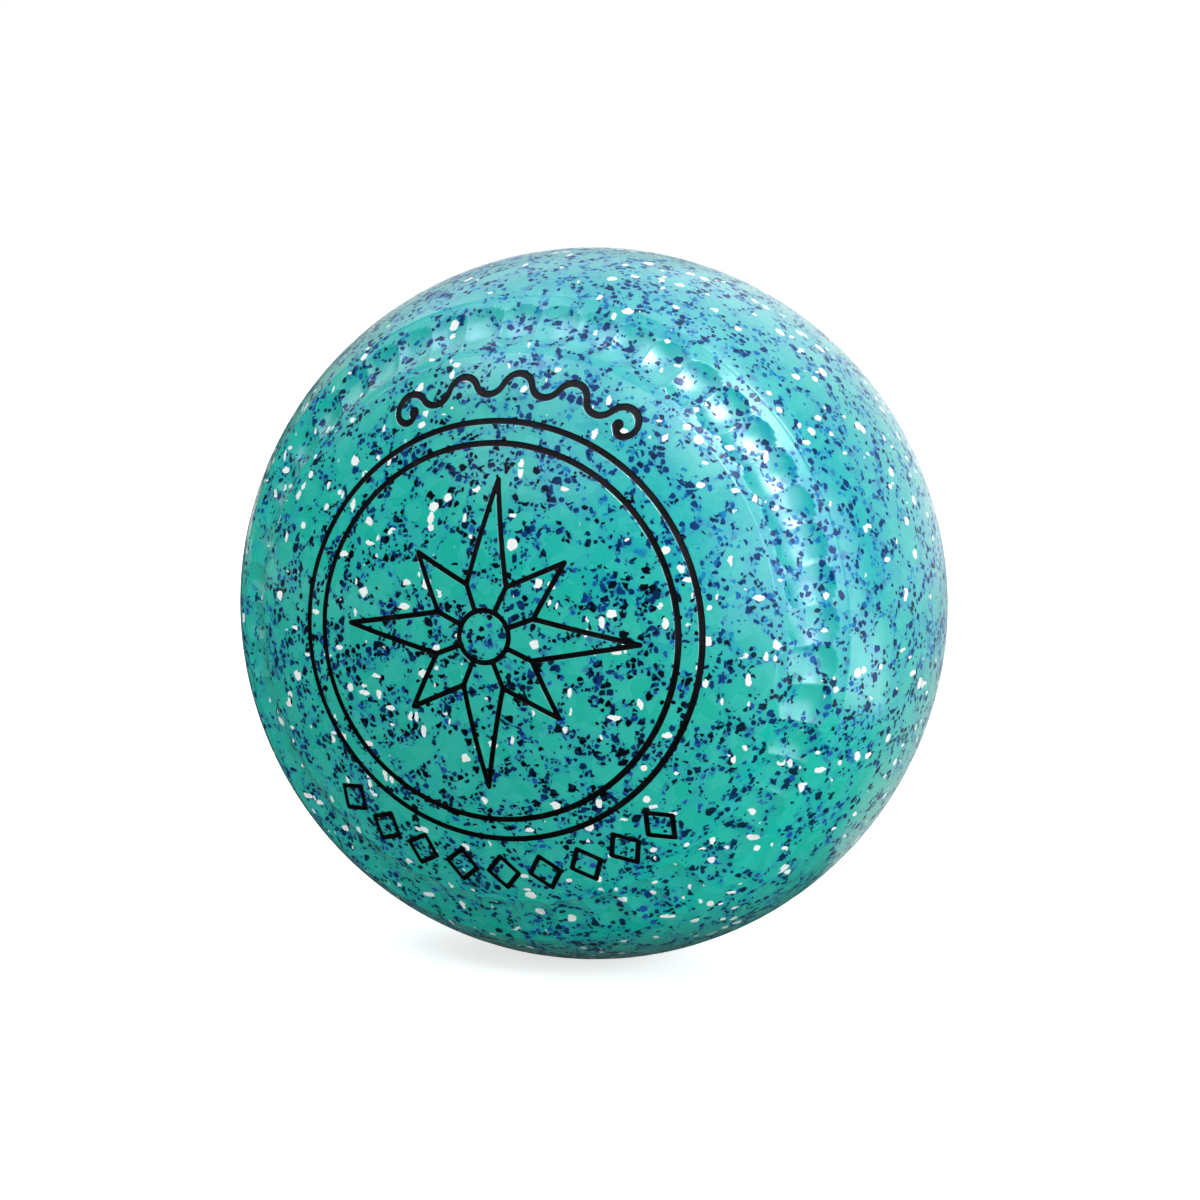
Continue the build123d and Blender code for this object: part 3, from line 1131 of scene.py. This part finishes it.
# %% Core: pressed resin with its powder grain, dark and unpolished
pressed, tree, surface, point = solid_material("core_resin")
bent = use_group(tree, bend_group, Point=point, Waves_per_mm=0.5, Amount=1.4)["Point"]
grain = use_group(tree, chip_group, Point=bent, Chip_Size=1.4, Share=0.35, Batch=(2.0, 3.0, 4.0))
body = mix_colour(tree, times(tree, grain["Mask"], 0.6), colour(44, 44, 48), colour(78, 76, 80))
end_material([frame["nodes"]["core"]], pressed, surface, {
    "Base Color": body, "Roughness": ramp(tree, grain["Tone"], 0.0, 1.0, 0.6, 0.8)})

# %% [markdown]
# ## Floor, flags and backdrop
#
# The bowl stands on a pale floor in a white room. Gloss is mostly a picture of the room, so what the
# bowl reflects matters as much as what lights it. In a studio, a deep colour is kept deep by
# hanging black cloth, called flags, where the surface would mirror a white wall, and a pale edge is
# drawn by leaving the white open or by a grey or white card. Here a tent of flags stands round the
# front and sides, dark cloth lies before the bowl, a grey card behind it, and a bright card to its
# right, which lights up the lower scoops. Only reflections see them.

# %% Floor
FLOOR_SPAN = 8.0
FLOOR_GREY = (0.85, 0.85, 0.85, 1.0)
# Added where the floor is seen directly, to bring it to the white of the room.
FLOOR_LIFT = 0.72
foot = -RUNNING_RADIUS * MM


def seen_directly(tree):
    """1 for camera rays and for what gloss and glass show, else 0."""
    rays = put(tree, "ShaderNodeLightPath").outputs
    seen = math_node(tree, "MAXIMUM", rays["Is Camera Ray"], rays["Is Glossy Ray"])
    return math_node(tree, "MAXIMUM", seen, rays["Is Transmission Ray"])


def stage_mesh(name, points, faces):
    """A piece of the stage, in metres."""
    mesh = bpy.data.meshes.new(name)
    mesh.from_pydata(points, [], faces)
    thing = add_object(name, mesh)
    return thing


half = FLOOR_SPAN / 2
floor = stage_mesh("floor", [(x * half, y * half, foot) for x, y in ((-1, -1), (1, -1), (1, 1), (-1, 1))],
                   [(0, 1, 2, 3)])
floor_paint, tree, surface = empty_material("pale_floor")
matt = put(tree, "ShaderNodeBsdfDiffuse", {"Color": FLOOR_GREY})
strength = times(tree, seen_directly(tree), FLOOR_LIFT)
lift = put(tree, "ShaderNodeEmission", {"Color": (1.0, 1.0, 1.0, 1.0), "Strength": strength})
both = put(tree, "ShaderNodeAddShader", {0: matt.outputs[0], 1: lift.outputs[0]})
tree.links.new(both.outputs[0], surface)
dress([floor], floor_paint)


# %% Tools for flags
def reflections_only(thing):
    """Let only mirrored rays meet this thing."""
    for ray in ("camera", "diffuse", "shadow", "transmission", "volume_scatter"):
        setattr(thing, f"visible_{ray}", False)


def direction(azimuth, elevation):
    """Unit vector. Azimuth 0 points to the front, -Y, and 90 to the right, +X."""
    return Vector((math.sin(azimuth) * math.cos(elevation), -math.cos(azimuth) * math.cos(elevation),
                   math.sin(elevation)))


# %% Tents and cards
def card(name, rows):
    """A bent card through rows of places."""
    across = len(rows[0])
    faces = [(k, k + 1, k + across + 1, k + across)
             for k in range(across * (len(rows) - 1)) if (k + 1) % across]
    return stage_mesh(name, [place for row in rows for place in row], faces)


def arc_of_places(azimuths, elevation, reach):
    """Places at one height, between two azimuths in degrees."""
    return [reach * direction(math.radians(azimuth), math.radians(elevation))
            for azimuth in np.linspace(*azimuths, 37)]


def tent(name, azimuths, elevations):
    """A curved cloth between two azimuths and two elevations, in degrees."""
    return card(name, [arc_of_places(azimuths, elevation, TENT_RADIUS)
                       for elevation in np.linspace(*elevations, 13)])


def floor_card(name, reaches, azimuths, lift=0.0003):
    """A flat card on the floor, between two distances and two azimuths in degrees."""
    up = Vector((0, 0, foot + lift))
    return card(name, [[place + up for place in arc_of_places(azimuths, 0, reach)] for reach in reaches])


def glowing(name, strength, tint=(1.0, 1.0, 1.0)):
    """A surface seen only by its own light, as reflections need it."""
    material, tree, surface = empty_material(name)
    shine = put(tree, "ShaderNodeEmission", {"Color": (*tint, 1.0), "Strength": strength})
    tree.links.new(shine.outputs[0], surface)
    return material


# %% Flags
TENT_RADIUS = 3.0
LILAC = (0.76, 0.74, 1.0)
BLACK_CLOTH = glowing("black_cloth", 0.06)
GREY_CARD = glowing("grey_card", 0.55)
WHITE_CARD = glowing("white_card", 4.5, LILAC)

flags = [(tent("front_flag", (-125, 122), (-20, 75)), BLACK_CLOTH),
         (tent("left_flag", (-150, -125), (-20, 8)), BLACK_CLOTH),
         (tent("left_card", (-168, -125), (8, 75)), GREY_CARD),
         (floor_card("wide_cloth", (0.0, 1.2), (-160, 70)), BLACK_CLOTH),
         (floor_card("right_cloth", (0.0, 0.20), (70, 115)), BLACK_CLOTH),
         (floor_card("back_cloth", (0.0, 0.065), (115, 200)), BLACK_CLOTH),
         (floor_card("bounce_card", (0.18, 1.2), (60, 115), lift=0.0006), WHITE_CARD),
         (floor_card("back_card", (0.065, 1.5), (115, 200)), GREY_CARD)]
for flag, finish in flags:
    flag.data.materials.append(finish)
    reflections_only(flag)
print("flags:", [flag.name for flag, _ in flags])

# %% [markdown]
# ## Light
#
# Polished scoops act as 96 little concave mirrors, so the shape of each lamp can be read in them.
# That asks for lamps of two kinds. Sheens are seen only by gloss: a small bright key puts a white
# spark in every scoop on the right, a wider glow round it and a tall strip below it spread a pale
# lilac, and weak panels overhead, in front, on the left and behind draw the other scoops and edges.
# Three large lamps, one low on the right, one overhead and one behind, are seen only by the colour
# itself, and an even grey from the whole room fills the rest.

# %% Lamps
def soft_box(name, azimuth, elevation, distance, width, height, radiance, tint=(1.0, 1.0, 1.0)):
    """A rectangular lamp facing the bowl. Angles are in degrees and sizes in metres.

    Its mirror image is as bright as its radiance, white being 1.
    """
    data = bpy.data.lights.new(name, "AREA")
    data.shape = "RECTANGLE"
    data.size, data.size_y = width, height
    data.energy = radiance * math.pi * width * height
    data.color = tint
    lamp = add_object(name, data)
    towards = direction(math.radians(azimuth), math.radians(elevation))
    lamp.location = distance * towards
    lamp.rotation_euler = towards.to_track_quat("Z", "Y").to_euler()
    lamp.visible_camera = False
    return lamp


PALE_LILAC = (0.90, 0.89, 1.0)
sheens = [
    soft_box("key_sheen", 71, 53, 1.20, 0.46, 0.46, 24.0),
    soft_box("key_glow", 66, 56, 1.30, 1.10, 0.90, 3.7, PALE_LILAC),
    soft_box("right_strip", 77, 23, 1.30, 0.50, 1.00, 8.2, LILAC),
    soft_box("right_sheen", 74, 14, 1.35, 1.60, 0.80, 2.7, LILAC),
    soft_box("overhead_sheen", 20, 84, 1.15, 1.10, 1.10, 2.0, LILAC),
    soft_box("front_sheen", -15, 38, 1.40, 1.00, 0.46, 1.8, LILAC),
    soft_box("left_top_sheen", -82, 64, 1.30, 0.90, 0.60, 4.2, LILAC),
    soft_box("left_sheen", -105, 36, 1.30, 0.80, 0.60, 1.5, LILAC),
    soft_box("back_sheen", -165, 48, 1.60, 2.00, 1.10, 0.6, LILAC),
]
for lamp in sheens:
    lamp.visible_diffuse = False
lamps = sheens + [
    soft_box("key_light", 80, 14, 1.30, 1.00, 0.80, 4.1),
    soft_box("overhead_light", -36, 64, 1.30, 1.40, 1.40, 2.25),
    soft_box("back_light", 170, 28, 1.40, 1.20, 1.00, 2.0),
]
for lamp in lamps[len(sheens):]:
    lamp.visible_glossy = False
print("lamps:", [lamp.name for lamp in lamps])

# %% Room
ROOM_FILL = 0.36

room = bpy.context.scene.world or bpy.data.worlds.new("room")
bpy.context.scene.world = room
room.use_nodes = True
tree = room.node_tree
tree.nodes.clear()
fill = put(tree, "ShaderNodeBackground", {"Color": (1.0, 1.0, 1.0, 1.0), "Strength": ROOM_FILL})
white = put(tree, "ShaderNodeBackground", {"Color": (1.0, 1.0, 1.0, 1.0), "Strength": 1.0})
shown = put(tree, "ShaderNodeMixShader", {0: seen_directly(tree), 1: fill.outputs[0], 2: white.outputs[0]})
tree.links.new(shown.outputs[0], put(tree, "ShaderNodeOutputWorld").inputs["Surface"])
print("the room's even light:", ROOM_FILL)

# %% [markdown]
# ## Camera
#
# A long lens from about three quarters of a metre: the bowl's outline is then almost the circle of
# its section, with just enough perspective to turn its side rings into slightly different ellipses.

# %% Camera
CAMERA_AZIMUTH = math.radians(19.42)
CAMERA_ELEVATION = math.radians(6.86)
CAMERA_ROLL = math.radians(1.9)
CAMERA_DISTANCE = 762.0
CAMERA_LENS = 127.83
CAMERA_RIGHT_SHIFT = 1.256
CAMERA_UP_SHIFT = 0.634

data = bpy.data.cameras.new("camera")
data.sensor_width = 36.0
data.lens = CAMERA_LENS
data.clip_start, data.clip_end = 0.05, 20.0
camera = add_object("camera", data)
back = direction(CAMERA_AZIMUTH, CAMERA_ELEVATION)
level_right = Vector((math.cos(CAMERA_AZIMUTH), math.sin(CAMERA_AZIMUTH), 0.0))
level_up = back.cross(level_right)
right = level_right * math.cos(CAMERA_ROLL) + level_up * math.sin(CAMERA_ROLL)
up = back.cross(right)
camera.matrix_world = Matrix((right, up, back)).transposed().to_4x4()
camera.location = MM * (CAMERA_DISTANCE * back + CAMERA_RIGHT_SHIFT * right + CAMERA_UP_SHIFT * up)
bpy.context.scene.camera = camera
print("camera at", [round(part, 3) for part in camera.location])

# %% [markdown]
# ## Finishing
#
# The colours are shown as they are, with no film look over them.

# %% Colour
bpy.context.scene.view_settings.view_transform = "Standard"
